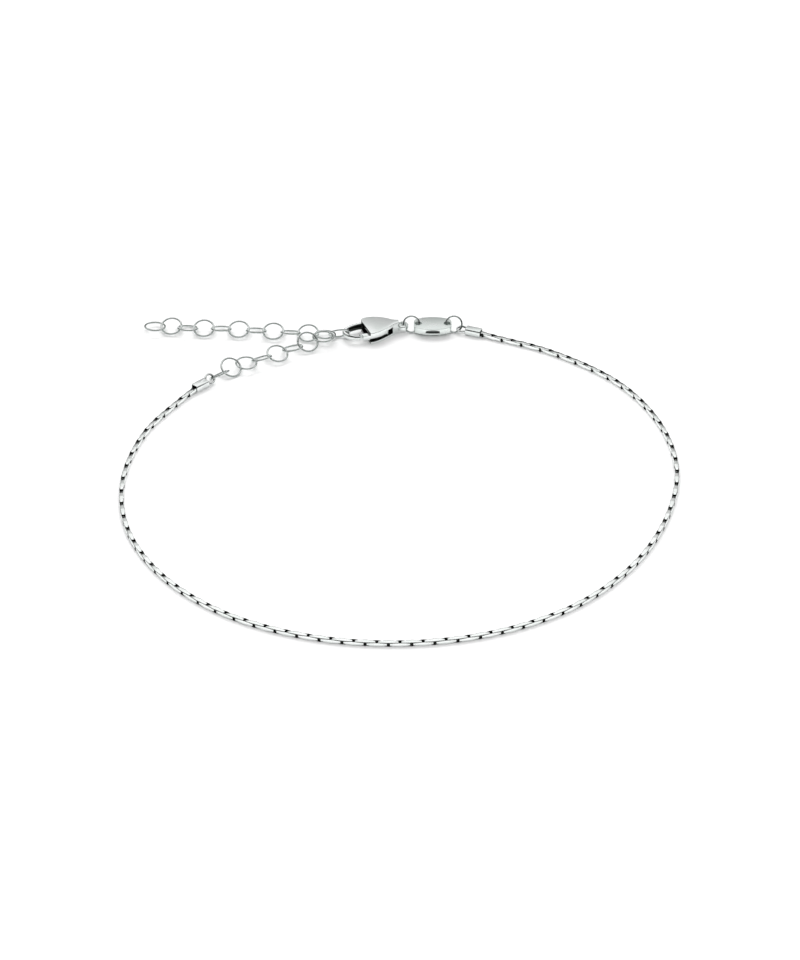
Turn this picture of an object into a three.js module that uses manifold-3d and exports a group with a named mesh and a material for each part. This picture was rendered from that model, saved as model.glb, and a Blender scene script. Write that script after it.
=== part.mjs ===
// Chain anklet lying in a loop, closed by a lobster clasp on a ring of its extender.
// Millimetres, +Z up. The chain, extender and clasp lie on the plane z = 0.
import * as THREE from 'three';
import Module from 'manifold-3d';
import { mergeVertices } from 'three/addons/utils/BufferGeometryUtils.js';

const wasm = await Module();
wasm.setup();

// Fine chain: flat-strip loops, alternate ones turned by a quarter turn.
const LINK_PITCH = 1.6;
const FIRST_LINK_IN = 1.97;
const LAST_LINK_IN = 0.87;
const CAP_RISE_RUN = 8;
const STEP = 0.1;
const LINK_LENGTH = 2.95;
const LINK_HEIGHT = 0.8;
const LINK_WIDTH = 0.8;
const LINK_END_WIDTH = 0.4;
const LINK_STRIP = 0.17;

// Extender rings and the two jump rings: outer diameter and wire diameter.
const RING = { outer: 3.4, wire: 0.32 };
const JUMP_RING = { outer: 2.76, wire: 0.3 };
const RING_SIDES = 11;
const WIRE_SIDES = 5;

// End caps: a tube crimped on the chain with an eye ring at its closed end.
const CAP_LENGTH = 2.4;
const CAP_WIDTH = 1.4;
const CAP_HEIGHT = 1.15;
const CAP_WALL = 0.12;
const CAP_CORNER = 0.25;
const CAP_FLOOR = 0.5;
const EYE = { outer: 1.84, wire: 0.34 };
const EYE_SIDES = 12;
const EYE_OUT = 0.72;

// Tag: a small bare barrel-shaped plate with a hole near each end.
const TAG_LENGTH = 5.8;
const TAG_WIDTH = 3.6;
const TAG_END_WIDTH = 1.9;
const TAG_THICK = 1.0;
const TAG_LIFT = 0.5;
const TAG_BEVEL = 0.12;
const TAG_HOLE = 1.04;
const TAG_HOLE_INSET = 0.7;

// Lobster clasp: plates, slot for the lever, hook, eye and the pin of the lever.
const CLASP_HEIGHT = 2.0;
const CLASP_BEVEL = 0.18;
const SLOT_FLOOR = 0.45;
const SLOT_HEIGHT = 1.05;
const LEVER_GAP = 0.1;
const PIN_DIAMETER = 0.7;
const PIN_CLEARANCE = 0.12;
const HOOK_WIDTH = 0.62;
const HOOK_HEIGHT = 0.95;
const HOOK_MID = 0.95;
const HOOK_SIDES = 8;
const CLASP_EYE = { at: 4.5, outer: 1.75, hole: 1.0, height: 0.8, floor: 0.55 };

// Where things lie on the surface, as [x, y] points. The pieces at the back lie from the tag.
const TAG_AT = [5.0, 41.1];
const CLASP_AT = fromTag([-9.05, -0.6]);
const CLASP_HEADING = 8;
const RIGHT_CAP = { mouth: fromTag([7.4, -1.35]), heading: 159, roll: 0, eyeHeight: 0.6 };

// The extender's rings lie from the place where the hook holds them. They are drawn for this
// inner diameter and spread out for others, and the left cap and the chain's end follow.
const HOOK_HOLD = fromTag([-12.9, -2.5]);
const RINGS_DRAWN_FOR = 2.76;
const ringSpread = (RING.outer - 2 * RING.wire) / RINGS_DRAWN_FOR;

const CHAIN_ROUTE = [
  fromTag([5.9, -0.75]), fromTag([9.2, -2.2]), [22.8, 34.8], [32.6, 26.4], [38.4, 15.5],
  [40.4, 3.1],
  [38.1, -9.6], [32.5, -21.3], [23.7, -30.8], [12.2, -36.8], [-0.4, -38.9], [-12.9, -37.3],
  [-24.3, -32.1], [-33.3, -23.4], [-38.9, -12.1], [-40.3, 0.5], [-37.6, 13.0],
  spread([-24.8, -17.0]), spread([-22.4, -13.7]),
];

// Extender rings: centre x, y from the hook's hold, z, heading of the chain there, lean about it.
const RINGS = [
  [-19.29, -11.14, 1.06, 42, -35],
  [-17.6, -9.1, 1.03, 37, 33],
  [-15.34, -7.79, 0.94, 32, 3],
  [-13.07, -6.52, 0.96, 32, -27],
  [-10.69, -5.23, 0.99, 30, 19],
  [-8.43, -3.77, 1.0, 31, -21],
  [-6.15, -2.39, 1.26, 21, 37],
  [-3.79, -1.1, 1.38, 22, -2],
  [-1.37, -0.24, 1.43, 9, -55],
  [-3.52, 0.36, 0.82, -7, -10],
  [-6.13, 0.75, 0.83, -8, 22],
  [-8.79, 0.84, 0.9, -7, -24],
  [-11.47, 1.12, 0.93, -6, 19],
  [-14.08, 1.43, 0.87, -6, -20],
  [-16.76, 1.75, 0.88, -5, 19],
  [-19.45, 1.95, 0.87, -3, -20],
  [-22.12, 2.1, 0.85, -3, 20],
  [-24.61, 2.29, 0.74, -7, -19],
  [-27.11, 2.72, 0.83, -10, 19],
  [-29.62, 2.67, 0.8, -10, -9],
];
// The left cap hangs on the first ring: its eye lies this way from it, with this play.
const LEFT_EYE = { towards: 211, play: 0.1 };
const LEFT_CAP = { mouth: leftMouth(44), heading: 44, roll: 45, eyeHeight: 0.85 };

// Each jump ring hangs between a hole of the tag and the eye beyond it, whose distance is given.
const TAG_TO_EYE = 4.3;
const jumpRingAt = (TAG_LENGTH / 2 - TAG_HOLE_INSET + TAG_TO_EYE) / 2;
const JUMP_RINGS = {
  jump_ring_left: [...fromTag([-jumpRingAt, 0.12]), 1.24, 0, 62],
  jump_ring_right: [...fromTag([jumpRingAt, 0.12]), 1.24, 0, 62],
};

// Clasp outlines in its own frame: x along the clasp towards its eye, y to the back.
const BODY_OUTLINE = [
  [-1.8, 0.85], [-1.75, 1.3], [-1.2, 1.65], [-0.3, 1.8], [0.8, 1.65], [2.0, 1.2], [3.1, 0.55],
  [3.9, 0.4], [3.9, -0.4], [3.1, -0.8], [2.2, -1.5], [1.0, -2.35], [-0.1, -2.9], [-0.8, -3.05],
];
const SLOT_OUTLINE = [
  [-3.0, 0.35], [-1.2, 0.55], [0.6, 0.45], [2.1, 0.1], [2.75, -0.35], [2.95, -1.6], [2.2, -3.5],
  [-3.0, -3.5],
];
const HOOK_ROUTE = [
  [-1.3, 1.0], [-2.0, 0.95], [-3.1, 0.62], [-4.1, 0.1], [-4.62, -0.5], [-4.5, -1.2],
  [-3.95, -1.9], [-3.1, -2.3], [-2.35, -2.4],
];
const LEVER_OUTLINE = [
  [-2.55, -2.05], [-2.5, -1.8], [-0.9, -1.75], [0.9, -0.85], [1.3, -0.2], [1.95, -0.15],
  [2.3, -0.65], [2.05, -1.2], [0.9, -2.05], [-0.5, -2.6], [-1.9, -2.68], [-2.1, -2.15],
];
const PIN_AT = [1.65, -0.75];

const STEEL = { roughness: 0.18, metalness: 1 };
const MATERIALS = {
  chain: new THREE.MeshStandardMaterial({ color: 0xd9dcda, ...STEEL }),
  ring: new THREE.MeshStandardMaterial({ color: 0xdcdedd, ...STEEL }),
  clasp: new THREE.MeshStandardMaterial({ color: 0xd2d8d5, ...STEEL }),
  tag: new THREE.MeshStandardMaterial({ color: 0xcfd6d2, roughness: 0.28, metalness: 1 }),
};

const group = new THREE.Group();
group.name = 'chain_anklet';

function fromTag([x, y]) {
  return [TAG_AT[0] + x, TAG_AT[1] + y];
}

function spread([x, y]) {
  return [HOOK_HOLD[0] + x * ringSpread, HOOK_HOLD[1] + y * ringSpread];
}

function polar(distance, degrees) {
  const angle = THREE.MathUtils.degToRad(degrees);
  return [distance * Math.cos(angle), distance * Math.sin(angle)];
}

// The mouth of the left cap, back from its eye along its heading.
function leftMouth(heading) {
  const ring = spread(RINGS[0]);
  const eye = polar((RING.outer - RING.wire) / 2 + LEFT_EYE.play, LEFT_EYE.towards);
  const back = polar(CAP_LENGTH + EYE_OUT, heading);
  return [ring[0] + eye[0] - back[0], ring[1] + eye[1] - back[1]];
}

function toSolid(geometry) {
  const bare = geometry.clone();
  bare.deleteAttribute('normal');
  bare.deleteAttribute('uv');
  const merged = mergeVertices(bare, 1e-5);
  const mesh = new wasm.Mesh({
    numProp: 3,
    vertProperties: new Float32Array(merged.attributes.position.array),
    triVerts: new Uint32Array(merged.index.array),
  });
  return new wasm.Manifold(mesh);
}

function addNode(name, solid, material) {
  const mesh = solid.getMesh();
  const geometry = new THREE.BufferGeometry();
  geometry.setAttribute('position', new THREE.BufferAttribute(mesh.vertProperties, 3));
  geometry.setIndex(new THREE.BufferAttribute(mesh.triVerts, 1));
  geometry.computeVertexNormals();
  const node = new THREE.Mesh(geometry, material);
  node.name = name;
  group.add(node);
}

function shapeOf(points) {
  return new THREE.Shape(points.map(([x, y]) => new THREE.Vector2(x, y)));
}

function prism(points, height) {
  return toSolid(new THREE.ExtrudeGeometry(shapeOf(points), { depth: height, bevelEnabled: false }));
}

// A plate with its top and bottom edges bevelled.
function bevelledPlate(points, height, bevel) {
  const geometry = new THREE.ExtrudeGeometry(shapeOf(points), {
    depth: height - 2 * bevel,
    bevelThickness: bevel,
    bevelSize: bevel,
    bevelOffset: -bevel,
    bevelSegments: 1,
  });
  return toSolid(geometry.translate(0, 0, bevel));
}

function cylinder(diameter, height, sides) {
  const geometry = new THREE.CylinderGeometry(diameter / 2, diameter / 2, height, sides);
  return toSolid(geometry.rotateX(Math.PI / 2).translate(0, 0, height / 2));
}

function wireRing({ outer, wire }, sides) {
  const radius = (outer - wire) / 2;
  return toSolid(new THREE.TorusGeometry(radius, wire / 2, WIRE_SIDES, sides));
}

function move(solid, matrix) {
  return solid.transform(matrix.elements);
}

// A frame at [x, y, z] with x along the heading, leaning about that axis.
function frameAt([x, y, z], heading, lean) {
  const turn = new THREE.Matrix4().makeRotationZ(THREE.MathUtils.degToRad(heading));
  const tilt = new THREE.Matrix4().makeRotationX(THREE.MathUtils.degToRad(lean));
  return new THREE.Matrix4().makeTranslation(x, y, z).multiply(turn).multiply(tilt);
}

// One link lying along x, its hole across y: a loop cut to a leaf-shaped strip.
// A slim one keeps its end width up to the middle, clear of the link before it.
function chainLink(slim) {
  const half = LINK_LENGTH / 2;
  const top = LINK_HEIGHT / 2;
  const shape = shapeOf([[-half, -top], [half, -top], [half, top], [-half, top]]);
  const inner = half - LINK_STRIP;
  const roof = top - LINK_STRIP;
  const hole = [[-inner, -roof], [-inner, roof], [inner, roof], [inner, -roof]];
  shape.holes.push(new THREE.Path(hole.map(([x, y]) => new THREE.Vector2(x, y))));
  const loop = new THREE.ExtrudeGeometry(shape, { depth: LINK_WIDTH, bevelEnabled: false });
  loop.translate(0, 0, -LINK_WIDTH / 2).rotateX(Math.PI / 2);
  const end = LINK_END_WIDTH / 2;
  const wide = LINK_WIDTH / 2;
  const lead = slim ? [end, LINK_STRIP] : [wide, 0];
  const leaf = [
    [-half, -end], [0, -lead[0]], [lead[1], -wide], [half, -end],
    [half, end], [lead[1], wide], [0, lead[0]], [-half, end],
  ].filter((point, i) => slim || (i !== 2 && i !== 5));
  const cutter = prism(leaf, LINK_HEIGHT).translate([0, 0, -top]);
  return toSolid(loop).intersect(cutter);
}

const capAxis = CAP_HEIGHT / 2;
const routeCurve = new THREE.CatmullRomCurve3(
  CHAIN_ROUTE.map(([x, y]) => new THREE.Vector3(x, y, 0)),
  false,
  'centripetal',
);
routeCurve.arcLengthDivisions = 4000;
const routeLength = routeCurve.getLength();
const linkRun = routeLength - FIRST_LINK_IN - LAST_LINK_IN;
const halfLinks = Math.round((linkRun / LINK_PITCH + 1) / 2);
const linkStep = linkRun / (2 * halfLinks - 1);

// The chain's axis at a distance along the route. It rises to the bore of the cap at each end.
function chainAxis(distance) {
  const point = routeCurve.getPointAt(distance / routeLength);
  const toEnd = Math.min(distance, routeLength - distance);
  const rise = Math.max(0, 1 - toEnd / CAP_RISE_RUN) ** 2;
  point.z = LINK_HEIGHT / 2 + (capAxis - LINK_HEIGHT / 2) * rise;
  return point;
}

// Links number first to last, fused into one body. The one that meets the other half is slim.
function chainHalf(first, last, slim) {
  const full = chainLink(false);
  const thin = chainLink(true);
  const links = [];
  for (let i = first; i <= last; i += 1) {
    const distance = FIRST_LINK_IN + i * linkStep;
    const point = chainAxis(distance);
    const along = chainAxis(distance + STEP).sub(chainAxis(distance - STEP)).normalize();
    const across = new THREE.Vector3(0, 0, 1).cross(along).normalize();
    const up = along.clone().cross(across);
    const frame = new THREE.Matrix4().makeBasis(along, across, up).setPosition(point);
    const quarter = i % 2 === 0 ? 0 : Math.PI / 2;
    frame.multiply(new THREE.Matrix4().makeRotationX(quarter));
    links.push(move(i === slim ? thin : full, frame));
  }
  return wasm.Manifold.union(links);
}

function roundedRect(width, height, corner) {
  const w = width / 2;
  const h = height / 2;
  return [
    [-w + corner, -h], [w - corner, -h], [w, -h + corner], [w, h - corner],
    [w - corner, h], [-w + corner, h], [-w, h - corner], [-w, -h + corner],
  ];
}

// The cap's own frame: x from the mouth to the eye, z up from the surface.
function endCap({ mouth, heading, roll, eyeHeight }) {
  const alongX = new THREE.Matrix4().makeBasis(
    new THREE.Vector3(0, 1, 0),
    new THREE.Vector3(0, 0, 1),
    new THREE.Vector3(1, 0, 0),
  );
  const shell = move(prism(roundedRect(CAP_WIDTH, CAP_HEIGHT, CAP_CORNER), CAP_LENGTH), alongX);
  const bore = roundedRect(CAP_WIDTH - 2 * CAP_WALL, CAP_HEIGHT - 2 * CAP_WALL, CAP_CORNER / 2);
  const hollow = move(prism(bore, CAP_LENGTH), alongX).translate([-CAP_FLOOR, 0, 0]);
  const eye = wireRing(EYE, EYE_SIDES).rotate([roll, 0, 0]);
  const eyeX = CAP_LENGTH + EYE_OUT;
  const cap = shell.translate([0, 0, capAxis])
    .subtract(hollow.translate([0, 0, capAxis]))
    .add(eye.translate([eyeX, 0, eyeHeight]));
  return move(cap, frameAt([mouth[0], mouth[1], 0], heading, 0));
}

function tag() {
  const l = TAG_LENGTH / 2;
  const w = TAG_WIDTH / 2;
  const e = TAG_END_WIDTH / 2;
  const outline = [
    [-l, -e / 2], [-l * 0.93, -e], [-l * 0.62, -w * 0.88], [-l * 0.25, -w], [l * 0.25, -w],
    [l * 0.62, -w * 0.88], [l * 0.93, -e], [l, -e / 2], [l, e / 2], [l * 0.93, e],
    [l * 0.62, w * 0.88], [l * 0.25, w], [-l * 0.25, w], [-l * 0.62, w * 0.88],
    [-l * 0.93, e], [-l, e / 2],
  ];
  const holeAt = l - TAG_HOLE_INSET;
  const hole = cylinder(TAG_HOLE, 2 * TAG_THICK, 12).translate([0, 0, -TAG_THICK / 2]);
  return bevelledPlate(outline, TAG_THICK, TAG_BEVEL)
    .subtract(hole.translate([-holeAt, 0, 0]))
    .subtract(hole.translate([holeAt, 0, 0]))
    .translate([TAG_AT[0], TAG_AT[1], TAG_LIFT]);
}

function oval(width, height, sides) {
  const points = [];
  for (let i = 0; i < sides; i += 1) {
    const a = (2 * Math.PI * (i + 0.5)) / sides;
    points.push([(height / 2) * Math.cos(a), (width / 2) * Math.sin(a)]);
  }
  return points;
}

function hook() {
  const route = HOOK_ROUTE.map(([x, y]) => new THREE.Vector3(x, y, HOOK_MID));
  const path = new THREE.CatmullRomCurve3(route, false, 'centripetal');
  const section = shapeOf(oval(HOOK_WIDTH, HOOK_HEIGHT, HOOK_SIDES));
  return toSolid(new THREE.ExtrudeGeometry(section, { steps: 14, extrudePath: path }));
}

function claspBody() {
  const plates = bevelledPlate(BODY_OUTLINE, CLASP_HEIGHT, CLASP_BEVEL);
  const slot = prism(SLOT_OUTLINE, SLOT_HEIGHT).translate([0, 0, SLOT_FLOOR]);
  const pin = cylinder(PIN_DIAMETER, SLOT_HEIGHT + 0.2, 12);
  const eye = cylinder(CLASP_EYE.outer, CLASP_EYE.height, 14);
  const eyeHole = cylinder(CLASP_EYE.hole, 3 * CLASP_EYE.height, 12);
  return plates.subtract(slot)
    .add(pin.translate([PIN_AT[0], PIN_AT[1], SLOT_FLOOR - 0.1]))
    .add(hook())
    .add(eye.translate([CLASP_EYE.at, 0, CLASP_EYE.floor]))
    .subtract(eyeHole.translate([CLASP_EYE.at, 0, 0]));
}

function claspLever() {
  const height = SLOT_HEIGHT - 2 * LEVER_GAP;
  const bore = cylinder(PIN_DIAMETER + PIN_CLEARANCE, 2 * height, 12);
  return prism(LEVER_OUTLINE, height)
    .subtract(bore.translate([PIN_AT[0], PIN_AT[1], -height / 2]))
    .translate([0, 0, SLOT_FLOOR + LEVER_GAP]);
}

addNode('chain_right', chainHalf(0, halfLinks - 1, -1), MATERIALS.chain);
addNode('chain_left', chainHalf(halfLinks, 2 * halfLinks - 1, halfLinks), MATERIALS.chain);
addNode('end_cap_right', endCap(RIGHT_CAP), MATERIALS.clasp);
addNode('end_cap_left', endCap(LEFT_CAP), MATERIALS.clasp);

RINGS.forEach(([x, y, z, heading, lean], i) => {
  const solid = wireRing(RING, RING_SIDES);
  const name = `ring_${String(i + 1).padStart(2, '0')}`;
  addNode(name, move(solid, frameAt([...spread([x, y]), z], heading, lean)), MATERIALS.ring);
});
for (const [name, [x, y, z, heading, lean]] of Object.entries(JUMP_RINGS)) {
  const solid = wireRing(JUMP_RING, RING_SIDES);
  addNode(name, move(solid, frameAt([x, y, z], heading, lean)), MATERIALS.ring);
}

addNode('tag', tag(), MATERIALS.tag);
const claspFrame = frameAt([CLASP_AT[0], CLASP_AT[1], 0], CLASP_HEADING, 0);
addNode('clasp_body', move(claspBody(), claspFrame), MATERIALS.clasp);
addNode('clasp_lever', move(claspLever(), claspFrame), MATERIALS.clasp);

// Centred over the origin, with its lowest point on the surface.
const box = new THREE.Box3().setFromObject(group);
const centre = box.getCenter(new THREE.Vector3());
for (const node of group.children) node.geometry.translate(-centre.x, -centre.y, -box.min.z);

export default group;
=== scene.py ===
"""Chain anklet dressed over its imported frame: links, rings, clasp, tag, finishes and stage."""

import math

import bmesh
import bpy
from mathutils import Matrix, Vector


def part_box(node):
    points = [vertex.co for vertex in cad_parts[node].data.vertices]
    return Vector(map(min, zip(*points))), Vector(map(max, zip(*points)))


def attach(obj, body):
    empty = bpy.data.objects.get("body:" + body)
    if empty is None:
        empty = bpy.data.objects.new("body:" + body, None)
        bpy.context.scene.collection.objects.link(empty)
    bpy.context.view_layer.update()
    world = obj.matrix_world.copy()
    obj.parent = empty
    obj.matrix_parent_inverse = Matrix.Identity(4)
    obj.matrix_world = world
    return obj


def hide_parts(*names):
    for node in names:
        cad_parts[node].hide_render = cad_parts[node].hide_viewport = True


bl_info = {
    "name": "Chain anklet",
    "version": (1, 0, 0),
    "blender": (4, 5, 0),
    "location": "View3D > Sidebar > Anklet",
    "description": "Models a fine chain anklet with its clasp and extender, and a studio stage",
    "category": "Object",
}

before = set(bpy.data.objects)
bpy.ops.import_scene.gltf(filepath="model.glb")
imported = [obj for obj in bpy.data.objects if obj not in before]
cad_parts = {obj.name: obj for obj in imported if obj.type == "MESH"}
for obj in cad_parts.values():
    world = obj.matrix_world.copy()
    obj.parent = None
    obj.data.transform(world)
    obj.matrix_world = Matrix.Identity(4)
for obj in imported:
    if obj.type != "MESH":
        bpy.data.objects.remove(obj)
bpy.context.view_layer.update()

# Pieces are modelled in millimetres and brought to metres when they are placed.
MM = 0.001
BODY = "anklet"
LEVER = "lever"

# Where things lie, in millimetres, before the frame's own centring.
CHAIN_ROUTE = [
    (10.9, 40.35), (14.2, 38.9), (22.8, 34.8), (32.6, 26.4), (38.4, 15.5), (40.4, 3.1),
    (38.1, -9.6), (32.5, -21.3), (23.7, -30.8), (12.2, -36.8), (-0.4, -38.9), (-12.9, -37.3),
    (-24.3, -32.1), (-33.3, -23.4), (-38.9, -12.1), (-40.3, 0.5), (-37.6, 13.0), (-32.7, 21.6),
    (-30.3, 24.9),
]
FIRST_LINK_IN = 1.97
LAST_LINK_IN = 0.87
CAP_RISE_RUN = 8.0
CHAIN_LIFT = 0.012
# A link's folded ends, the strip's thickness and the rounding of its edges.
LINK_FOLD = 0.24
STRIP_WALL = 0.15
STRIP_ROUND = 0.022
# Half the bare middle of a link, beside which its neighbours' ends nearly meet, and its shoulders.
LINK_SEAT = 0.15
LINK_SHOULDER = 0.75
# Along half a link: from, to and share of the full width there. One edge also bends down a little.
LEAF = [(0.0, 0.3, 0.96), (0.6, 0.9, 0.77), (0.9, 2.0, 0.52)]
EDGE_DROP = 0.05
RING_SEAM = 0.022
CAP_AXIS = 0.575
CAP_SIZE = (2.4, 1.4, 1.15)
CAP_WALL = 0.13
CAP_DEPTH = 1.9
CAP_EYE_AT = 3.12
CAP_EYE_RADIUS = 0.75
CAP_EYE_WIRE = 0.17
CAPS = {
    # name: mouth x, y, heading, roll of the eye, height of the eye
    "end_cap_right": (12.4, 39.75, 159, 0, 0.6),
    "end_cap_left": (-30.84, 24.45, 44, 45, 0.85),
}
TAG_AT = (5.0, 41.1, 0.5)
TAG_SIZE = (5.8, 3.6, 1.0)
TAG_TAPER = 0.47
TAG_HOLE = 0.52
TAG_HOLE_AT = 2.2
# The small tilted flats low on the tag's sides. Their dark bars are painted dark reflection: the flats
# take the dark shade tone.
TAG_FLAT = (2.1, 1.0, 0.66)
TAG_FLAT_OUT = 0.42
TAG_FLAT_TILT = 16
CLASP_AT = (-4.05, 40.5, 0.0)
CLASP_HEADING = 8
# x, y, z, heading of the chain, lean about that heading
RINGS = [
    (-27.19, 27.46, 1.06, 42, -35), (-25.5, 29.5, 1.03, 37, 33), (-23.24, 30.81, 0.94, 32, 3),
    (-20.97, 32.08, 0.96, 32, -27), (-18.59, 33.37, 0.99, 30, 19), (-16.33, 34.83, 1.0, 31, -21),
    (-14.05, 36.21, 1.26, 21, 37), (-11.69, 37.5, 1.38, 22, -2), (-9.27, 38.36, 1.43, 9, -52),
    (-11.42, 38.96, 0.82, -7, -10), (-14.03, 39.35, 0.83, -8, 22), (-16.69, 39.44, 0.9, -7, -24),
    (-19.37, 39.72, 0.93, -6, 19), (-21.98, 40.03, 0.87, -6, -20), (-24.66, 40.35, 0.88, -5, 19),
    (-27.35, 40.55, 0.87, -3, -20), (-30.02, 40.7, 0.85, -3, 20), (-32.51, 40.89, 0.74, -7, -19),
    (-35.01, 41.32, 0.83, -10, 19), (-37.52, 41.27, 0.8, -10, -9),
]
JUMP_RINGS = {
    "jump_ring_left": (1.75, 41.22, 1.24, 0, 62),
    "jump_ring_right": (8.25, 41.22, 1.24, 0, 62),
}
BODY_BACK = [
    (-1.8, 0.85), (-1.75, 1.3), (-1.2, 1.65), (-0.3, 1.8), (0.8, 1.65), (2.0, 1.2), (3.1, 0.55),
    (3.9, 0.4),
]
BODY_FRONT = [
    (3.9, -0.4), (3.1, -0.8), (2.2, -1.5), (1.0, -2.35), (-0.1, -2.9), (-0.8, -3.05),
]
SLOT = [
    (-3.0, 0.35), (-1.2, 0.55), (0.6, 0.45), (2.1, 0.1), (2.75, -0.35), (2.95, -1.6),
    (2.2, -3.5), (-3.0, -3.5),
]
HOOK_ROUTE = [
    (-1.3, 1.0), (-2.0, 0.95), (-3.1, 0.62), (-4.1, 0.1), (-4.62, -0.5), (-4.5, -1.2),
    (-3.95, -1.9), (-3.1, -2.3), (-2.35, -2.4),
]
LEVER_BACK = [
    (-2.5, -1.8), (-0.9, -1.75), (0.9, -0.85), (1.3, -0.2), (1.95, -0.15), (2.3, -0.65),
    (2.05, -1.2), (0.9, -2.05), (-0.5, -2.6), (-1.9, -2.68),
]
LEVER_TIP = [(-2.1, -2.15), (-2.55, -2.05)]
# The clasp's heights, low and high, above the surface that it lies on.
BODY_RISE = (0.0, 2.0)
SLOT_RISE = (0.45, 1.5)
LEVER_RISE = (0.55, 1.4)
PIN_RISE = (0.35, 1.6)
EYE_RISE = (0.55, 1.35)
PIN_AT = (1.65, -0.75)
PIN_RADIUS = 0.35
PIN_PLAY = 0.06
EYE_AT = (4.5, 0.0)
EYE_RADIUS = 0.875
EYE_BORE = 0.5
HOOK_WIDE = 0.31
HOOK_TALL = 0.475
HOOK_MIDDLE = 0.95
# How much wider the hook is at its root, and how much of that it loses on the way to its tip.
HOOK_ROOT = 1.35
HOOK_TAPER = 0.55

tag_low, tag_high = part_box("tag")
FRAME_SHIFT = Vector((
    (tag_low[0] + tag_high[0]) / 2 / MM - TAG_AT[0],
    (tag_low[1] + tag_high[1]) / 2 / MM - TAG_AT[1],
    tag_low[2] / MM - TAG_AT[2],
))


def in_frame(matrix):
    """A millimetre placement as a matrix in the frame's metres."""
    return Matrix.Scale(MM, 4) @ Matrix.Translation(FRAME_SHIFT) @ matrix


def lying(x, y, z, heading, lean=0.0):
    """A placement with x along the heading, leaning about that axis."""
    turn = Matrix.Rotation(math.radians(heading), 4, "Z")
    tilt = Matrix.Rotation(math.radians(lean), 4, "X")
    return Matrix.Translation((x, y, z)) @ turn @ tilt


# Small steps of modelling


def object_mode():
    if bpy.context.object and bpy.context.object.mode != "OBJECT":
        bpy.ops.object.mode_set(mode="OBJECT")
    bpy.ops.object.select_all(action="DESELECT")


def only(obj):
    object_mode()
    obj.select_set(True)
    bpy.context.view_layer.objects.active = obj


def edit(obj):
    only(obj)
    bpy.ops.object.mode_set(mode="EDIT")
    bpy.ops.mesh.select_all(action="DESELECT")


def pick_points(obj, test):
    """Selects the vertices whose place passes the test."""
    bpy.ops.mesh.select_mode(type="VERT")
    mesh = bmesh.from_edit_mesh(obj.data)
    for vert in mesh.verts:
        vert.select = bool(test(vert.co))
    mesh.select_flush_mode()
    bmesh.update_edit_mesh(obj.data)


def pick_faces(obj, test):
    """Selects the faces whose middle and normal pass the test."""
    bpy.ops.mesh.select_mode(type="FACE")
    mesh = bmesh.from_edit_mesh(obj.data)
    for face in mesh.faces:
        face.select = bool(test(face.calc_center_median(), face.normal))
    mesh.select_flush_mode()
    bmesh.update_edit_mesh(obj.data)


def pick_edges(obj, test):
    """Selects the edges whose two ends pass the test."""
    bpy.ops.mesh.select_mode(type="EDGE")
    mesh = bmesh.from_edit_mesh(obj.data)
    for edge in mesh.edges:
        edge.select = bool(test(edge.verts[0].co, edge.verts[1].co))
    mesh.select_flush_mode()
    bmesh.update_edit_mesh(obj.data)


def shift(x=0.0, y=0.0, z=0.0):
    bpy.ops.transform.translate(value=(x, y, z))


def stretch(x=1.0, y=1.0, z=1.0, about=(0, 0, 0)):
    bpy.ops.transform.resize(value=(x, y, z), center_override=about)


def cut_across(place, direction):
    """A cut through the whole mesh, which adds a loop of edges."""
    bpy.ops.mesh.select_all(action="SELECT")
    bpy.ops.mesh.bisect(plane_co=place, plane_no=direction)
    bpy.ops.mesh.select_all(action="DESELECT")


def finish_modifiers(obj):
    only(obj)
    for modifier in list(obj.modifiers):
        bpy.ops.object.modifier_apply(modifier=modifier.name)


def soften(obj, width, segments=2, angle=35):
    """Rounds the piece's sharp edges."""
    bevel = obj.modifiers.new("soft_edges", "BEVEL")
    bevel.width = width
    bevel.segments = segments
    bevel.limit_method = "ANGLE"
    bevel.angle_limit = math.radians(angle)
    bevel.harden_normals = False
    finish_modifiers(obj)


def combine(obj, other, how):
    """Joins or cuts the piece with another solid, which is used up."""
    boolean = obj.modifiers.new("combine", "BOOLEAN")
    boolean.operation = how
    boolean.solver = "EXACT"
    boolean.object = other
    finish_modifiers(obj)
    bpy.data.objects.remove(other, do_unlink=True)


def mark_painted_shade(obj, test):
    """Notes on each face whether it gets painted shade: a dark tone standing in for shade in gaps and
    hollows, and for a dark reflection on the tag's side flats.
    """
    object_mode()
    note = obj.data.attributes.new("painted_shade_mark", "FLOAT", "FACE")
    for face, value in zip(obj.data.polygons, note.data):
        value.value = 1.0 if test(face.center, face.normal) else 0.0


def smooth(obj, angle=32):
    only(obj)
    bpy.ops.object.shade_smooth_by_angle(angle=math.radians(angle))


def outward(obj):
    edit(obj)
    bpy.ops.mesh.select_all(action="SELECT")
    bpy.ops.mesh.remove_doubles(threshold=0.0005)
    bpy.ops.mesh.normals_make_consistent(inside=False)
    object_mode()


def curve_through(points, closed=False, each=6):
    """Points of a smooth curve through the given ones."""
    out = []
    count = len(points)
    spans = count if closed else count - 1
    for i in range(spans):
        four = []
        for k in (i - 1, i, i + 1, i + 2):
            k = k % count if closed else min(max(k, 0), count - 1)
            four.append(Vector(points[k]))
        a, b, c, d = four
        for j in range(each):
            t = j / each
            out.append(0.5 * (2 * b + (c - a) * t + (2 * a - 5 * b + 4 * c - d) * t * t
                              + (3 * b - a - 3 * c + d) * t ** 3))
    if not closed:
        out.append(Vector(points[-1]))
    return out


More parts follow.
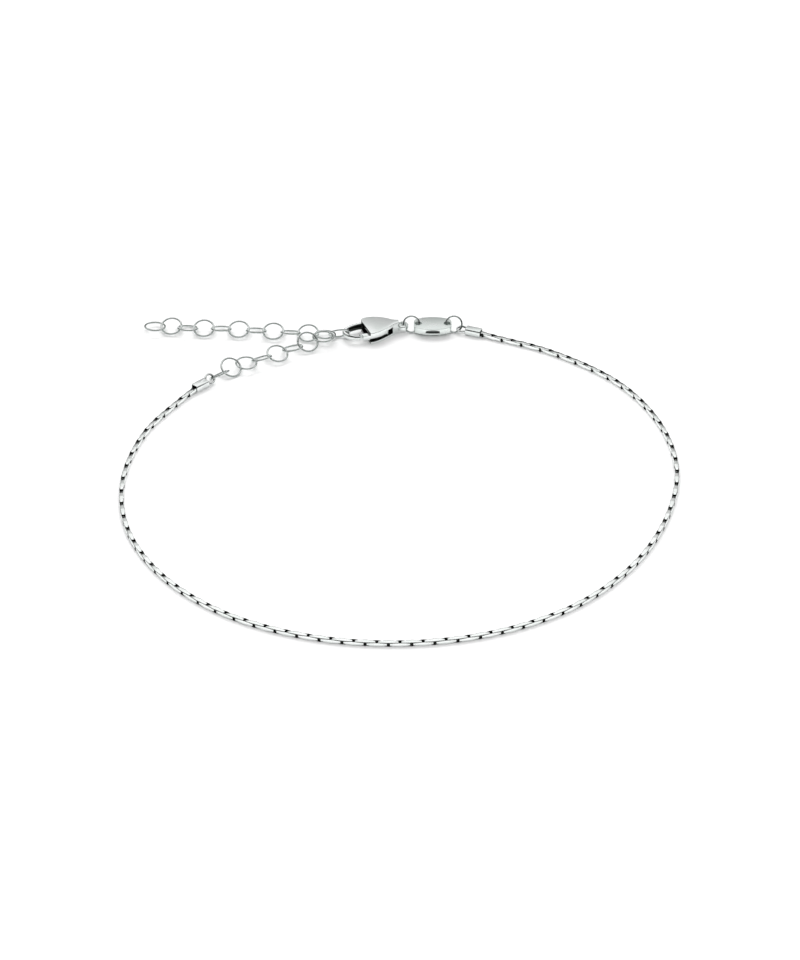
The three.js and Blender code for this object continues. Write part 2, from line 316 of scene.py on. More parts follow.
def plate(name, outline, low, high):
    """A flat solid: one point extruded round the outline, filled and extruded upwards."""
    object_mode()
    bpy.ops.mesh.primitive_plane_add(size=0.1, location=(0, 0, 0))
    obj = bpy.context.object
    obj.name = name
    edit(obj)
    bpy.ops.mesh.select_all(action="SELECT")
    bpy.ops.mesh.merge(type="CENTER")
    bpy.ops.mesh.select_mode(type="VERT")
    bpy.ops.mesh.select_all(action="SELECT")
    shift(outline[0][0], outline[0][1], low)
    for a, b in zip(outline, outline[1:]):
        step = (b[0] - a[0], b[1] - a[1], 0)
        bpy.ops.mesh.extrude_vertices_move(TRANSFORM_OT_translate={"value": step})
    bpy.ops.mesh.select_all(action="SELECT")
    bpy.ops.mesh.edge_face_add()
    bpy.ops.mesh.extrude_region_move(TRANSFORM_OT_translate={"value": (0, 0, high - low)})
    bpy.ops.mesh.select_all(action="SELECT")
    bpy.ops.mesh.normals_make_consistent(inside=False)
    object_mode()
    return obj


def rod(name, radius, low, high, at=(0, 0), sides=48):
    object_mode()
    bpy.ops.mesh.primitive_cylinder_add(
        vertices=sides, radius=radius, depth=high - low,
        location=(at[0], at[1], (low + high) / 2))
    obj = bpy.context.object
    obj.name = name
    bpy.ops.object.transform_apply(location=True, rotation=True, scale=True)
    return obj


def settle(obj, name, matrix, material, nodes, body=BODY):
    """Puts a finished piece in its place and hands it to the frame."""
    only(obj)
    obj.name = name
    obj.data.name = name
    obj.matrix_world = in_frame(matrix)
    bpy.ops.object.transform_apply(location=True, rotation=True, scale=True)
    obj.data.materials.clear()
    obj.data.materials.append(material)
    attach(obj, body)
    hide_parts(*nodes)
    return obj


# Finishes


def socket(group, name, way, kind, default=None):
    made = group.interface.new_socket(name=name, in_out=way, socket_type=kind)
    if default is not None:
        made.default_value = default
    return made


def smudge_mask(nodes, links, place, enter):
    """Cloudy patches, from 0 to 1."""
    clouds = nodes.new("ShaderNodeTexNoise")
    clouds.inputs["Detail"].default_value = 4.0
    links.new(place.outputs["Object"], clouds.inputs["Vector"])
    links.new(enter.outputs["Smudge Scale"], clouds.inputs["Scale"])
    spread = nodes.new("ShaderNodeMapRange")
    spread.inputs["From Min"].default_value = 0.35
    spread.inputs["From Max"].default_value = 0.65
    links.new(clouds.outputs["Fac"], spread.inputs["Value"])
    return spread.outputs["Result"]


def hairline_mask(nodes, links, place, enter):
    """Long fine scratches: 0 in a scratch and 1 beside it."""
    turned = nodes.new("ShaderNodeMapping")
    turned.inputs["Rotation"].default_value = (0.2, 0.1, 0.5)
    turned.inputs["Scale"].default_value = (0.12, 1.0, 1.0)
    links.new(place.outputs["Object"], turned.inputs["Vector"])
    hairs = nodes.new("ShaderNodeTexNoise")
    hairs.inputs["Detail"].default_value = 2.0
    links.new(turned.outputs["Vector"], hairs.inputs["Vector"])
    links.new(enter.outputs["Scratch Scale"], hairs.inputs["Scale"])
    sharp = nodes.new("ShaderNodeMapRange")
    sharp.inputs["From Min"].default_value = 0.62
    sharp.inputs["From Max"].default_value = 0.7
    sharp.inputs["To Min"].default_value = 1.0
    sharp.inputs["To Max"].default_value = 0.0
    links.new(hairs.outputs["Fac"], sharp.inputs["Value"])
    return sharp.outputs["Result"]


def unshaded_mask(nodes, links, enter):
    """Where shade is painted: 1 on open faces, 0 in tight hollows and on faces marked for painted
    shade.
    """
    shape = nodes.new("ShaderNodeNewGeometry")
    bend = nodes.new("ShaderNodeMapRange")
    bend.inputs["From Min"].default_value = 0.40
    bend.inputs["From Max"].default_value = 0.49
    links.new(shape.outputs["Pointiness"], bend.inputs["Value"])
    clear = nodes.new("ShaderNodeMath")
    clear.operation = "SUBTRACT"
    clear.use_clamp = True
    links.new(bend.outputs["Result"], clear.inputs[0])
    links.new(enter.outputs["Painted Shade"], clear.inputs[1])
    return clear.outputs["Value"]


def new_wear_and_shade_group():
    group = bpy.data.node_groups.new("wear_and_painted_shade", "ShaderNodeTree")
    socket(group, "Bright", "INPUT", "NodeSocketColor", (0.8, 0.82, 0.81, 1))
    socket(group, "Shade Tone", "INPUT", "NodeSocketColor", (0.4, 0.42, 0.41, 1))
    socket(group, "Roughness", "INPUT", "NodeSocketFloat", 0.15)
    socket(group, "Smudge", "INPUT", "NodeSocketFloat", 0.08)
    socket(group, "Smudge Scale", "INPUT", "NodeSocketFloat", 700.0)
    socket(group, "Scratch Scale", "INPUT", "NodeSocketFloat", 9000.0)
    socket(group, "Painted Shade", "INPUT", "NodeSocketFloat", 0.0)
    socket(group, "Colour", "OUTPUT", "NodeSocketColor")
    socket(group, "Roughness", "OUTPUT", "NodeSocketFloat")
    socket(group, "Height", "OUTPUT", "NodeSocketFloat")
    return group


def wear_and_painted_shade():
    """Cloudy smudges and hairline scratches, and painted shade in hollows and on marked faces, shared
    by every metal here.
    """
    group = bpy.data.node_groups.get("wear_and_painted_shade")
    if group:
        return group
    group = new_wear_and_shade_group()
    nodes, links = group.nodes, group.links
    enter = nodes.new("NodeGroupInput")
    leave = nodes.new("NodeGroupOutput")
    place = nodes.new("ShaderNodeTexCoord")
    smudges = smudge_mask(nodes, links, place, enter)

    added = nodes.new("ShaderNodeMath")
    added.operation = "MULTIPLY_ADD"
    links.new(smudges, added.inputs[0])
    links.new(enter.outputs["Smudge"], added.inputs[1])
    links.new(enter.outputs["Roughness"], added.inputs[2])
    links.new(added.outputs["Value"], leave.inputs["Roughness"])

    both = nodes.new("ShaderNodeMath")
    both.operation = "MULTIPLY_ADD"
    both.inputs[1].default_value = 0.3
    links.new(smudges, both.inputs[0])
    links.new(hairline_mask(nodes, links, place, enter), both.inputs[2])
    links.new(both.outputs["Value"], leave.inputs["Height"])

    # Painted shade: in tight hollows, found by pointiness, and on marked faces the metal's tone gives
    # way to its darker shade tone.
    tone = nodes.new("ShaderNodeMix")
    tone.data_type = "RGBA"
    links.new(unshaded_mask(nodes, links, enter), tone.inputs["Factor"])
    links.new(enter.outputs["Shade Tone"], tone.inputs["A"])
    links.new(enter.outputs["Bright"], tone.inputs["B"])
    haze = nodes.new("ShaderNodeMix")
    haze.data_type = "RGBA"
    haze.blend_type = "MULTIPLY"
    haze.inputs["B"].default_value = (0.93, 0.95, 0.94, 1)
    links.new(smudges, haze.inputs["Factor"])
    links.new(tone.outputs["Result"], haze.inputs["A"])
    links.new(haze.outputs["Result"], leave.inputs["Colour"])
    return group


def metal(name, bright, hollow, roughness, smudge, smudge_scale, scratch_scale, depth):
    """A polished or satin metal with the shared wear and painted shade at its own scale."""
    made = bpy.data.materials.get(name)
    if made:
        return made
    made = bpy.data.materials.new(name)
    made.use_nodes = True
    nodes, links = made.node_tree.nodes, made.node_tree.links
    shader = nodes["Principled BSDF"]
    shader.inputs["Metallic"].default_value = 1.0
    wear = nodes.new("ShaderNodeGroup")
    wear.node_tree = wear_and_painted_shade()
    wear.inputs["Bright"].default_value = (*bright, 1)
    wear.inputs["Shade Tone"].default_value = (*hollow, 1)
    wear.inputs["Roughness"].default_value = roughness
    wear.inputs["Smudge"].default_value = smudge
    wear.inputs["Smudge Scale"].default_value = smudge_scale
    wear.inputs["Scratch Scale"].default_value = scratch_scale
    # Faces marked in the mesh take the painted shade tone.
    painted_shade_mark = nodes.new("ShaderNodeAttribute")
    painted_shade_mark.attribute_name = "painted_shade_mark"
    links.new(painted_shade_mark.outputs["Fac"], wear.inputs["Painted Shade"])
    links.new(wear.outputs["Colour"], shader.inputs["Base Color"])
    links.new(wear.outputs["Roughness"], shader.inputs["Roughness"])
    bump = nodes.new("ShaderNodeBump")
    bump.inputs["Strength"].default_value = 0.35
    bump.inputs["Distance"].default_value = depth
    links.new(wear.outputs["Height"], bump.inputs["Height"])
    links.new(bump.outputs["Normal"], shader.inputs["Normal"])
    return made


# The second colour of each metal below is its painted shade tone, laid in hollows and on marked faces.
def strip_metal():
    tone = bpy.context.scene.anklet_finish.strip
    return metal("polished_strip", tone, (0.02, 0.022, 0.02), 0.12, 0.08, 500.0, 9000.0, 0.000004)


def wire_metal():
    tone = bpy.context.scene.anklet_finish.wire
    return metal("drawn_wire", tone, (0.30, 0.32, 0.31), 0.07, 0.07, 650.0, 12000.0, 0.000003)


def clasp_metal():
    tone = bpy.context.scene.anklet_finish.steel
    return metal("tumbled_clasp", tone, (0.05, 0.055, 0.05), 0.14, 0.10, 420.0, 8000.0, 0.000005)


def tag_metal():
    tone = bpy.context.scene.anklet_finish.tag
    return metal("satin_tag", tone, (0.16, 0.17, 0.165), 0.24, 0.10, 350.0, 7000.0, 0.000006)


# Chain


def route_table():
    """The chain's route as points and the distance to each."""
    points = []
    p = [Vector(q) for q in CHAIN_ROUTE]
    last = len(p) - 1
    for i in range(last):
        b, c = p[i], p[i + 1]
        a = p[i - 1] if i else 2 * b - c
        d = p[i + 2] if i + 2 <= last else 2 * c - b
        ab, bc, cd = (max((w - v).length ** 0.5, 1e-4) for v, w in ((a, b), (b, c), (c, d)))
        start = ((b - a) / ab - (c - a) / (ab + bc) + (c - b) / bc) * bc
        end = ((c - b) / bc - (d - b) / (bc + cd) + (d - c) / cd) * bc
        for j in range(200):
            t = j / 200
            points.append(b + start * t + (3 * (c - b) - 2 * start - end) * t * t
                          + (2 * (b - c) + start + end) * t ** 3)
    points.append(p[-1])
    far = [0.0]
    for a, b in zip(points, points[1:]):
        far.append(far[-1] + (b - a).length)
    return points, far


def axis_point(table, distance, height):
    """The chain's axis at a distance along the route, rising to the caps at both ends."""
    points, far = table
    low, high = 0, len(far) - 1
    while high - low > 1:
        middle = (low + high) // 2
        if far[middle] <= distance:
            low = middle
        else:
            high = middle
    t = (distance - far[low]) / (far[high] - far[low])
    flat = points[low].lerp(points[high], t)
    to_end = min(distance, far[-1] - distance)
    rise = max(0.0, 1 - to_end / CAP_RISE_RUN) ** 2
    low = height / 2 + CHAIN_LIFT
    return Vector((flat[0], flat[1], low + (CAP_AXIS - low) * rise))


def model_link(sizes):
    """One link: a short tube drawn out to a flat loop, tapered like a leaf and given thickness."""
    half = sizes.link_length / MM / 2
    top = sizes.link_height / MM / 2
    object_mode()
    bpy.ops.mesh.primitive_cylinder_add(
        vertices=8, radius=LINK_FOLD, depth=2 * top, end_fill_type="NOTHING",
        rotation=(math.radians(90), 0, 0))
    link = bpy.context.object
    bpy.ops.object.transform_apply(location=True, rotation=True, scale=True)
    edit(link)
    pick_points(link, lambda v: v.x > 0.01)
    shift(x=half - LINK_FOLD)
    pick_points(link, lambda v: v.x < -0.01)
    shift(x=LINK_FOLD - half)
    pick_points(link, lambda v: v.z > 0.01)
    shift(z=top - LINK_FOLD)
    pick_points(link, lambda v: v.z < -0.01)
    shift(z=LINK_FOLD - top)
    for across in (-0.7 * top, 0.7 * top):
        cut_across((0, across, 0), (0, 1, 0))
    for along in (-LINK_SHOULDER, -LINK_SEAT, LINK_SEAT, LINK_SHOULDER):
        cut_across((along, 0, 0), (1, 0, 0))
    for up in (-1, 1):
        pick_points(link, lambda v: v.y > 0.9 * top and v.z * up > 0.1)
        shift(z=-EDGE_DROP * up)
    for near, out, width in LEAF:
        pick_points(link, lambda v: near <= abs(v.x) < out)
        stretch(y=width)
    outward(link)
    wall = link.modifiers.new("strip", "SOLIDIFY")
    wall.thickness = STRIP_WALL
    wall.offset = -1
    finish_modifiers(link)
    soften(link, STRIP_ROUND, 1, 50)
    smooth(link, 50)

    # Painted shade: the folded ends, the bare middle's sides and the inward faces take the near-black
    # shade tone, which paints the dark gaps between links.
    def link_shade_faces(at, way):
        on_fold = abs(at.x) > half - LINK_FOLD / 2
        on_seat = abs(at.x) < LINK_SEAT and abs(way.y) > 0.5
        faces_in = at.z * way.z < -0.02
        return on_fold or on_seat or faces_in
    mark_painted_shade(link, link_shade_faces)
    return link


class ANKLET_OT_chain(bpy.types.Operator):
    """Models one chain link and lays copies of it along the route, in two halves"""

    bl_idname = "anklet.chain"
    bl_label = "Chain"

    def execute(self, context):
        sizes = context.scene.anklet_sizes
        link = model_link(sizes)
        table = route_table()
        height = sizes.link_height / MM
        run = table[1][-1] - FIRST_LINK_IN - LAST_LINK_IN
        half = round((run * MM / sizes.link_pitch + 1) / 2)
        step = run / (2 * half - 1)
        halves = {"chain_right": [], "chain_left": []}
        for i in range(2 * half):
            far = FIRST_LINK_IN + i * step
            here = axis_point(table, far, height)
            along = axis_point(table, far + 0.1, height) - axis_point(table, far - 0.1, height)
            along.normalize()
            across = Vector((0, 0, 1)).cross(along).normalized()
            up = along.cross(across)
            place = Matrix((along, across, up)).transposed().to_4x4()
            place.translation = here
            if i % 2:
                place = place @ Matrix.Rotation(math.radians(90), 4, "X")
            copy = link.copy()
            copy.data = link.data.copy()
            context.collection.objects.link(copy)
            copy.matrix_world = place
            halves["chain_right" if i < half else "chain_left"].append(copy)
        bpy.data.objects.remove(link, do_unlink=True)
        for node, copies in halves.items():
            object_mode()
            for copy in copies:
                copy.select_set(True)
            context.view_layer.objects.active = copies[0]
            bpy.ops.object.transform_apply(location=True, rotation=True, scale=True)
            bpy.ops.object.join()
            settle(context.object, node + "_links", Matrix(), strip_metal(), [node])
        return {"FINISHED"}


# Rings


def model_ring(outer, wire):
    """A round wire ring with the fine seam where its ends meet."""
    object_mode()
    bpy.ops.mesh.primitive_torus_add(
        major_segments=64, minor_segments=16,
        major_radius=(outer - wire) / 2, minor_radius=wire / 2)
    ring = bpy.context.object
    edit(ring)
    for side in (-RING_SEAM, RING_SEAM):
        cut_across((0, side, 0), (0, 1, 0))
    middle = (outer - wire) / 2
    pick_points(ring, lambda v: v.x > 0 and abs(v.y) < RING_SEAM / 2)
    stretch(0.9, 1.0, 0.8, (middle, 0, 0))
    object_mode()
    smooth(ring, 60)
    return ring


class ANKLET_OT_rings(bpy.types.Operator):
    """Models the extender's rings and the two jump rings"""

    bl_idname = "anklet.rings"
    bl_label = "Rings"

    def execute(self, context):
        sizes = context.scene.anklet_sizes
        model = model_ring(sizes.ring_outer / MM, sizes.ring_wire / MM)
        for i, (x, y, z, heading, lean) in enumerate(RINGS):
            copy = model.copy()
            copy.data = model.data.copy()
            context.collection.objects.link(copy)
            name = f"ring_{i + 1:02d}"
            turn = Matrix.Rotation(math.radians(70 + 137 * i), 4, "Z")
            place = lying(x, y, z, heading, lean) @ turn
            settle(copy, name + "_wire", place, wire_metal(), [name])
        bpy.data.objects.remove(model, do_unlink=True)
        for name, (x, y, z, heading, lean) in JUMP_RINGS.items():
            ring = model_ring(sizes.jump_outer / MM, sizes.jump_wire / MM)
            place = lying(x, y, z, heading, lean) @ Matrix.Rotation(math.radians(100), 4, "Z")
            settle(ring, name + "_wire", place, wire_metal(), [name])
        return {"FINISHED"}


# End caps


def in_cap_mouth(at):
    """Whether a place on a cap lies on the walls of its hollow."""
    return 0.1 < at.x < CAP_DEPTH + 0.05 and abs(at.y) < 0.6 and abs(at.z - CAP_AXIS) < 0.46


def in_cap_eye(at, way, eye_middle):
    """Whether a place on a cap lies on its eye's inner side."""
    return at.x > CAP_SIZE[0] + 0.02 and (eye_middle - at).normalized().dot(way) > 0.55


class ANKLET_OT_caps(bpy.types.Operator):
    """Models the two end caps crimped on the chain, each with its eye"""

    bl_idname = "anklet.caps"
    bl_label = "End caps"

    def execute(self, context):
        for name, (x, y, heading, roll, eye_height) in CAPS.items():
            object_mode()
            bpy.ops.mesh.primitive_cube_add(size=1, location=(CAP_SIZE[0] / 2, 0, CAP_AXIS))
            cap = context.object
            cap.scale = CAP_SIZE
            bpy.ops.object.transform_apply(location=True, rotation=True, scale=True)
            edit(cap)
            pick_edges(cap, lambda a, b: abs(a.x - b.x) > 1)
            bpy.ops.mesh.bevel(offset=0.3, segments=5, affect="EDGES")
            pick_faces(cap, lambda c, n: n.x < -0.9)
            bpy.ops.mesh.inset(thickness=CAP_WALL, depth=0)
            bpy.ops.mesh.extrude_region_move(TRANSFORM_OT_translate={"value": (CAP_DEPTH, 0, 0)})
            object_mode()
            soften(cap, 0.05, 3, 50)
            object_mode()
            bpy.ops.mesh.primitive_torus_add(
                major_segments=48, minor_segments=14,
                major_radius=CAP_EYE_RADIUS, minor_radius=CAP_EYE_WIRE,
                location=(CAP_EYE_AT, 0, eye_height), rotation=(math.radians(roll), 0, 0))
            eye = context.object
            bpy.ops.object.transform_apply(location=True, rotation=True, scale=True)
            combine(cap, eye, "UNION")
            outward(cap)
            eye_middle = Vector((CAP_EYE_AT, 0, eye_height))
            # Painted shade: the walls of the cap's hollow and the eye's inner side take the dark shade
            # tone.
            mark_painted_shade(cap, lambda c, n, e=eye_middle: in_cap_mouth(c) or in_cap_eye(c, n, e))
            smooth(cap, 38)
            settle(cap, name + "_shell", lying(x, y, 0, heading), clasp_metal(), [name])
        return {"FINISHED"}


# Tag


class ANKLET_OT_tag(bpy.types.Operator):
    """Models the small bare barrel-shaped tag"""

    bl_idname = "anklet.tag"
    bl_label = "Tag"

    def execute(self, context):
        length, width, thick = TAG_SIZE
        half = length / 2
        object_mode()
        bpy.ops.mesh.primitive_cube_add(size=1)
        tag = context.object
        tag.scale = TAG_SIZE
        bpy.ops.object.transform_apply(location=True, rotation=True, scale=True)
        edit(tag)
        places = [k / 12 for k in range(-11, 12)]
        for place in places:
            cut_across((place * half, 0, 0), (1, 0, 0))
        for place in places + [-1, 1]:
            pick_points(tag, lambda v, p=place: abs(v.x - p * half) < 0.02)
            stretch(y=1 - TAG_TAPER * abs(place) ** 2.6)
        pick_edges(tag, lambda a, b: abs(a.x) > half - 0.01 and abs(a.z - b.z) > 0.5)
        bpy.ops.mesh.bevel(offset=0.5, segments=6, affect="EDGES")
        object_mode()
        soften(tag, 0.13, 4, 50)
        for side in (-1, 1):
            hole = rod("hole", TAG_HOLE, -1, 1, (TAG_HOLE_AT * side, 0))
            combine(tag, hole, "DIFFERENCE")
            object_mode()
            bpy.ops.mesh.primitive_cube_add(size=1, location=(0, side * (width / 2 + TAG_FLAT_OUT), 0))
            flat = context.object
            flat.scale = TAG_FLAT
            flat.rotation_euler = (side * math.radians(-TAG_FLAT_TILT), 0, 0)
            bpy.ops.object.transform_apply(location=True, rotation=True, scale=True)
            combine(tag, flat, "DIFFERENCE")
        soften(tag, 0.045, 2, 55)
        outward(tag)

        # Painted dark reflection: the tilted side flats take the dark shade tone, which paints the
        # dark bars on the tag's sides.
        def on_flat(at, way):
            on_side = 1.4 < abs(at.y) < width / 2 - 0.01
            return on_side and abs(at.x) < 1.03 and abs(at.z) < TAG_FLAT[2] / 2
        mark_painted_shade(tag, on_flat)
        smooth(tag, 38)
        x, y, z = TAG_AT
        place = Matrix.Translation((x, y, z + thick / 2))
        settle(tag, "tag_plate", place, tag_metal(), ["tag"])
        return {"FINISHED"}


# Clasp


def model_hook():
    """The hook: a tube along its route, flattened to an upright oval."""
    object_mode()
    bpy.ops.curve.primitive_nurbs_path_add()
    curve = bpy.context.object
    spline_points = curve_through(HOOK_ROUTE, each=5)
    curve.data.splines.clear()
    spline = curve.data.splines.new("POLY")
    spline.points.add(len(spline_points) - 1)
    for i, (point, place) in enumerate(zip(spline.points, spline_points)):
        point.co = (place[0], place[1], 0, 1)
        point.radius = HOOK_ROOT - HOOK_TAPER * i / (len(spline_points) - 1)
    curve.data.bevel_depth = HOOK_WIDE
    curve.data.bevel_resolution = 6
    curve.data.use_fill_caps = True
    only(curve)
    bpy.ops.object.convert(target="MESH")
    hook = bpy.context.object
    outward(hook)
    edit(hook)
    bpy.ops.mesh.select_all(action="SELECT")
    stretch(z=HOOK_TALL / HOOK_WIDE)
    shift(z=HOOK_MIDDLE)
    object_mode()
    soften(hook, 0.08, 3, 60)
    return hook


def model_clasp_body():
    """The body: a rounded plate with a slot for the lever, its pin, the eye and the hook."""
    back = curve_through(BODY_BACK, each=5)
    front = curve_through(BODY_FRONT, each=5)
    body = plate("clasp_blank", [tuple(v) for v in back + front], *BODY_RISE)
    soften(body, 0.22, 5, 60)
    slot = plate("slot", SLOT, *SLOT_RISE)
    combine(body, slot, "DIFFERENCE")
    combine(body, rod("pin", PIN_RADIUS, *PIN_RISE, PIN_AT), "UNION")
    eye = rod("eye", EYE_RADIUS, *EYE_RISE, EYE_AT, 56)
    soften(eye, 0.16, 4, 50)
    combine(body, eye, "UNION")
    bore = rod("bore", EYE_BORE, -1, 3, EYE_AT, 40)
    combine(body, bore, "DIFFERENCE")
    combine(body, model_hook(), "UNION")
    outward(body)
    middle = Vector((-2.5, -0.7))

    # Painted shade: the hook's inner walls and the slot's walls take the near-black shade tone, which
    # paints the dark inside of the hook and slot.
    def inside(centre, normal):
        inward = (middle - centre.xy).normalized().dot(normal.xy)
        in_hook = centre.x < -0.7 and (middle - centre.xy).length < 2.4
        in_slot = 0.4 < centre.z < 1.55 and -0.7 <= centre.x < 2.9 and normal.y < 0.3
        return in_hook and inward > 0.75 or in_slot and centre.y > -1.7 + 0.4 * centre.x
    mark_painted_shade(body, inside)
    smooth(body, 34)
    return body


class ANKLET_OT_clasp(bpy.types.Operator):
    """Models the lobster clasp: its body with hook and eye, and its lever"""

    bl_idname = "anklet.clasp"
    bl_label = "Clasp"

    def execute(self, context):
        place = lying(*CLASP_AT, CLASP_HEADING)
        body = model_clasp_body()
        settle(body, "clasp_body_shell", place, clasp_metal(), ["clasp_body"])
        outline = [tuple(v) for v in curve_through(LEVER_BACK, each=4)] + LEVER_TIP
        lever = plate("lever", outline, *LEVER_RISE)
        combine(lever, rod("bore", PIN_RADIUS + PIN_PLAY, 0, 2, PIN_AT, 40), "DIFFERENCE")
        soften(lever, 0.09, 3, 50)
        outward(lever)
        smooth(lever, 36)
        settle(lever, "clasp_lever_arm", place, clasp_metal(), ["clasp_lever"], LEVER)
        return {"FINISHED"}


# Stage


def paper_white():
    made = bpy.data.materials.new("paper_white")
    made.use_nodes = True
    nodes, links = made.node_tree.nodes, made.node_tree.links
    shader = nodes["Principled BSDF"]
    shader.inputs["Roughness"].default_value = 0.9
    shader.inputs["Specular IOR Level"].default_value = 0.1
    place = nodes.new("ShaderNodeTexCoord")
    grain = nodes.new("ShaderNodeTexNoise")
    grain.inputs["Scale"].default_value = 900.0
    tone = nodes.new("ShaderNodeMix")
    tone.data_type = "RGBA"
    tone.inputs["A"].default_value = (0.90, 0.90, 0.90, 1)
    tone.inputs["B"].default_value = (0.92, 0.92, 0.92, 1)
    links.new(place.outputs["Object"], grain.inputs["Vector"])
    links.new(grain.outputs["Fac"], tone.inputs["Factor"])
    links.new(tone.outputs["Result"], shader.inputs["Base Color"])
    return made


def ramp(nodes, stops):
    made = nodes.new("ShaderNodeValToRGB")
    elements = made.color_ramp.elements
    while len(elements) < len(stops):
        elements.new(0.5)
    for element, (at, value) in zip(elements, stops):
        element.position = at
        element.color = (value, value, value, 1)
    return made


def studio_room(strength):
    """A bright room with a dark low surround, for crisp dark lines in the metal.

    The camera itself sees a plain pale backdrop in its place.
    """
    world = bpy.data.worlds.new("studio_room")
    bpy.context.scene.world = world
    world.use_nodes = True
    nodes, links = world.node_tree.nodes, world.node_tree.links
    room = nodes["Background"]
    room.inputs["Strength"].default_value = strength
    place = nodes.new("ShaderNodeTexCoord")
    parts = nodes.new("ShaderNodeSeparateXYZ")
    links.new(place.outputs["Generated"], parts.inputs["Vector"])
    front = ramp(nodes, [
        (0.0, 0.0), (0.14, 0.02), (0.28, 0.16), (0.5, 0.03), (0.7, 0.02), (0.86, 0.05), (0.94, 0.5),
        (1.0, 1.0)])
    back = ramp(nodes, [
        (0.0, 0.0), (0.24, 0.01), (0.36, 0.45), (0.555, 0.64), (0.60, 0.92), (1.0, 1.05)])
    links.new(parts.outputs["Z"], front.inputs["Fac"])
    links.new(parts.outputs["Z"], back.inputs["Fac"])
    side = nodes.new("ShaderNodeMapRange")
    side.inputs["From Min"].default_value = -0.25
    side.inputs["From Max"].default_value = 0.25
    links.new(parts.outputs["Y"], side.inputs["Value"])
    mix = nodes.new("ShaderNodeMix")
    mix.data_type = "RGBA"
    links.new(side.outputs["Result"], mix.inputs["Factor"])
    links.new(front.outputs["Color"], mix.inputs["A"])
    links.new(back.outputs["Color"], mix.inputs["B"])
    seen = nodes.new("ShaderNodeMix")
    seen.data_type = "RGBA"
    seen.inputs["B"].default_value = (0.43, 0.43, 0.43, 1)
    ray = nodes.new("ShaderNodeLightPath")
    links.new(ray.outputs["Is Camera Ray"], seen.inputs["Factor"])
    links.new(mix.outputs["Result"], seen.inputs["A"])
    links.new(seen.outputs["Result"], room.inputs["Color"])


# In metres: the lamps' width and height, and where they stand.
LAMP_SIZE = (0.6, 0.35)
SOFT_BOX_AT = (-0.05, 0.38, 0.36)
FRONT_FILL_AT = (0.05, -0.32, 0.45)


class ANKLET_OT_stage(bpy.types.Operator):
    """Sets the pale floor, the soft light and the camera"""

    bl_idname = "anklet.stage"
    bl_label = "Stage"

    def execute(self, context):
        studio = context.scene.anklet_studio
        object_mode()
        bpy.ops.mesh.primitive_grid_add(x_subdivisions=4, y_subdivisions=4, size=2.4)
        floor = context.object
        floor.name = "floor"
        edit(floor)
        pick_points(floor, lambda v: v.y > 1.1)
        bpy.ops.transform.translate(value=(0, 0.6, 0.05))
        object_mode()
        floor.data.materials.append(paper_white())
        studio_room(studio.room_light)

        for name, place, power in (
                ("soft_box", SOFT_BOX_AT, studio.box_light),
                ("front_fill", FRONT_FILL_AT, studio.fill_light)):
            bpy.ops.object.light_add(type="AREA", location=place)
            lamp = context.object
            lamp.name = name
            lamp.data.shape = "RECTANGLE"
            lamp.data.size, lamp.data.size_y = LAMP_SIZE
            lamp.data.energy = power
            lamp.visible_glossy = False
            lamp.rotation_euler = (-lamp.location).to_track_quat("-Z", "Y").to_euler()

        target = in_frame(Matrix.Translation((0, 0, 0.8))).translation
        rise = studio.camera_rise
        reach = studio.camera_reach
        bpy.ops.object.camera_add(
            location=target + Vector((0, -math.cos(rise), math.sin(rise))) * reach,
            rotation=(math.pi / 2 - rise, 0, 0))
        camera = context.object
        camera.name = "camera"
        camera.data.sensor_width = 36
        camera.data.lens = studio.camera_lens
        camera.data.clip_start = 0.05
        context.scene.camera = camera
        context.scene.view_settings.view_transform = "Standard"
        context.scene.view_settings.look = "None"
        return {"FINISHED"}


# Settings and panel


def length(label, text, default):
    return bpy.props.FloatProperty(
        name=label, description=text, default=default, min=0.00001, precision=5,
        subtype="DISTANCE", unit="LENGTH")


class AnkletSizes(bpy.types.PropertyGroup):
    """Sizes of the repeated pieces."""

    link_length: length("Link length", "Length of one chain link outside", 0.00295)
    link_height: length("Link height", "Height and width of the chain", 0.0007)
    link_pitch: length("Link pitch", "Distance from one link to the next", 0.0016)
    ring_outer: length("Ring diameter", "Outer diameter of an extender ring", 0.0034)
    ring_wire: length("Ring wire", "Wire diameter of an extender ring", 0.00032)
    jump_outer: length("Jump ring diameter", "Outer diameter of a jump ring", 0.00276)
    jump_wire: length("Jump ring wire", "Wire diameter of a jump ring", 0.0003)


class AnkletFinish(bpy.types.PropertyGroup):
    """Tones of the metal."""

    steel: bpy.props.FloatVectorProperty(
        name="Steel", description="Tone of the polished metal", subtype="COLOR",
        default=(0.86, 0.885, 0.875), min=0, max=1)
    strip: bpy.props.FloatVectorProperty(
        name="Strip", description="Tone of the chain's bright strip", subtype="COLOR",
        default=(0.93, 0.95, 0.94), min=0, max=1)
    wire: bpy.props.FloatVectorProperty(
        name="Wire", description="Tone of the drawn wire", subtype="COLOR",
        default=(0.66, 0.69, 0.68), min=0, max=1)
    tag: bpy.props.FloatVectorProperty(
        name="Tag", description="Tone of the satin tag", subtype="COLOR",
        default=(0.82, 0.86, 0.84), min=0, max=1)


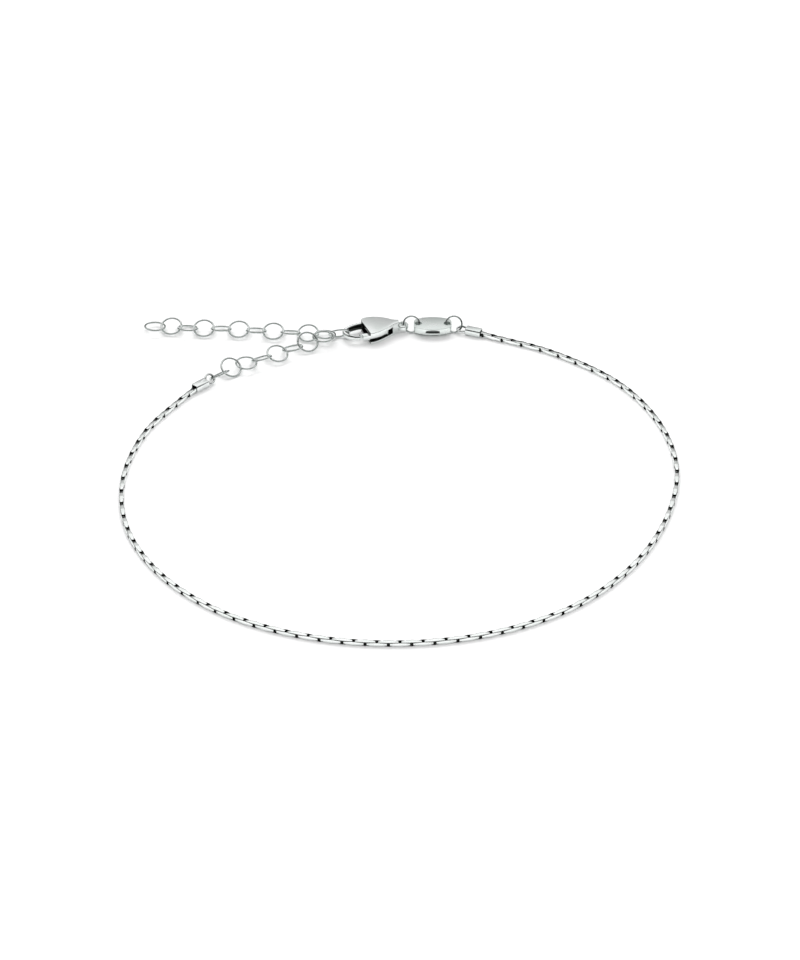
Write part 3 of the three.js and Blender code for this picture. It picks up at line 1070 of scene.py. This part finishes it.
class AnkletStudio(bpy.types.PropertyGroup):
    """Light and camera."""

    room_light: bpy.props.FloatProperty(
        name="Room light", description="Strength of the bright room", default=1.1, min=0)
    box_light: bpy.props.FloatProperty(
        name="Soft box", description="Power of the soft box", default=2.0, min=0,
        subtype="POWER", unit="POWER")
    fill_light: bpy.props.FloatProperty(
        name="Front fill", description="Power of the fill light in front", default=1.75, min=0,
        subtype="POWER", unit="POWER")
    camera_rise: bpy.props.FloatProperty(
        name="Camera rise", description="Camera's angle above the surface",
        default=math.radians(34.74), subtype="ANGLE", unit="ROTATION")
    camera_reach: length("Camera reach", "Distance from the camera to the middle", 0.61952)
    camera_lens: bpy.props.FloatProperty(
        name="Lens", description="Focal length of the camera", default=159.94,
        subtype="DISTANCE_CAMERA", unit="CAMERA")


class ANKLET_PT_panel(bpy.types.Panel):
    """Lists the pieces of the anklet"""

    bl_idname = "ANKLET_PT_panel"
    bl_label = "Chain anklet"
    bl_space_type = "VIEW_3D"
    bl_region_type = "UI"
    bl_category = "Anklet"

    def draw(self, context):
        layout = self.layout
        scene = context.scene
        for settings in (scene.anklet_sizes, scene.anklet_finish, scene.anklet_studio):
            box = layout.box()
            for name in settings.__annotations__:
                box.prop(settings, name)
        for operator in STEPS:
            layout.operator(operator.bl_idname)


STEPS = (
    ANKLET_OT_stage,
    ANKLET_OT_chain,
    ANKLET_OT_rings,
    ANKLET_OT_caps,
    ANKLET_OT_tag,
    ANKLET_OT_clasp,
)
SETTINGS = (AnkletSizes, AnkletFinish, AnkletStudio)


def register():
    for cls in SETTINGS + STEPS + (ANKLET_PT_panel,):
        bpy.utils.register_class(cls)
    bpy.types.Scene.anklet_sizes = bpy.props.PointerProperty(type=AnkletSizes)
    bpy.types.Scene.anklet_finish = bpy.props.PointerProperty(type=AnkletFinish)
    bpy.types.Scene.anklet_studio = bpy.props.PointerProperty(type=AnkletStudio)


def unregister():
    del bpy.types.Scene.anklet_studio
    del bpy.types.Scene.anklet_finish
    del bpy.types.Scene.anklet_sizes
    for cls in reversed(SETTINGS + STEPS + (ANKLET_PT_panel,)):
        bpy.utils.unregister_class(cls)


def main():
    register()
    bpy.ops.anklet.stage()
    bpy.ops.anklet.chain()
    bpy.ops.anklet.rings()
    bpy.ops.anklet.caps()
    bpy.ops.anklet.tag()
    bpy.ops.anklet.clasp()


if __name__ == "__main__":
    main()
